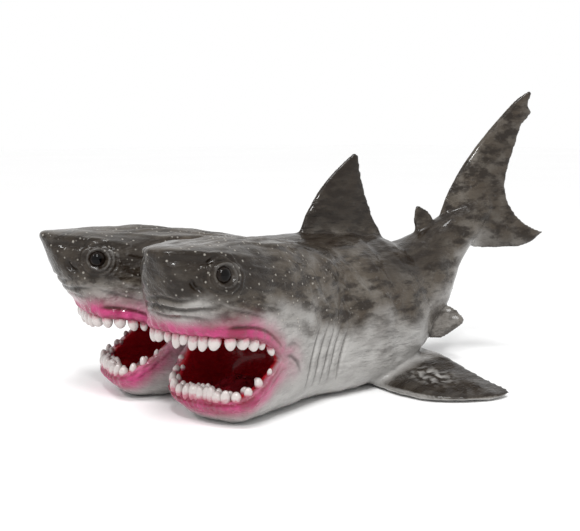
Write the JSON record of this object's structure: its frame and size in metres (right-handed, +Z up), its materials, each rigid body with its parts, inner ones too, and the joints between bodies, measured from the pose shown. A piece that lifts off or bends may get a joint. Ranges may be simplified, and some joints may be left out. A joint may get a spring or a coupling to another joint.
{
  "type": "two-headed shark figurine",
  "caption": "Moulded vinyl shark with two open-mouthed heads on one trunk, resting on its belly with the tail raised.",
  "frame": {"origin": "middle of the underside of the whole figurine's box, on the surface it rests on", "axes": "+Y from the snouts to the tail, +X to the shark's left, +Z up"},
  "size_m": [0.226, 0.3176, 0.1807],
  "materials": {
    "grey_vinyl": "glossy soft vinyl, sprayed dark brown-grey on the back and pale grey underneath"
  },
  "bodies": {
    "root": {"shark_figurine": "grey_vinyl"}
  },
  "joints": []
}
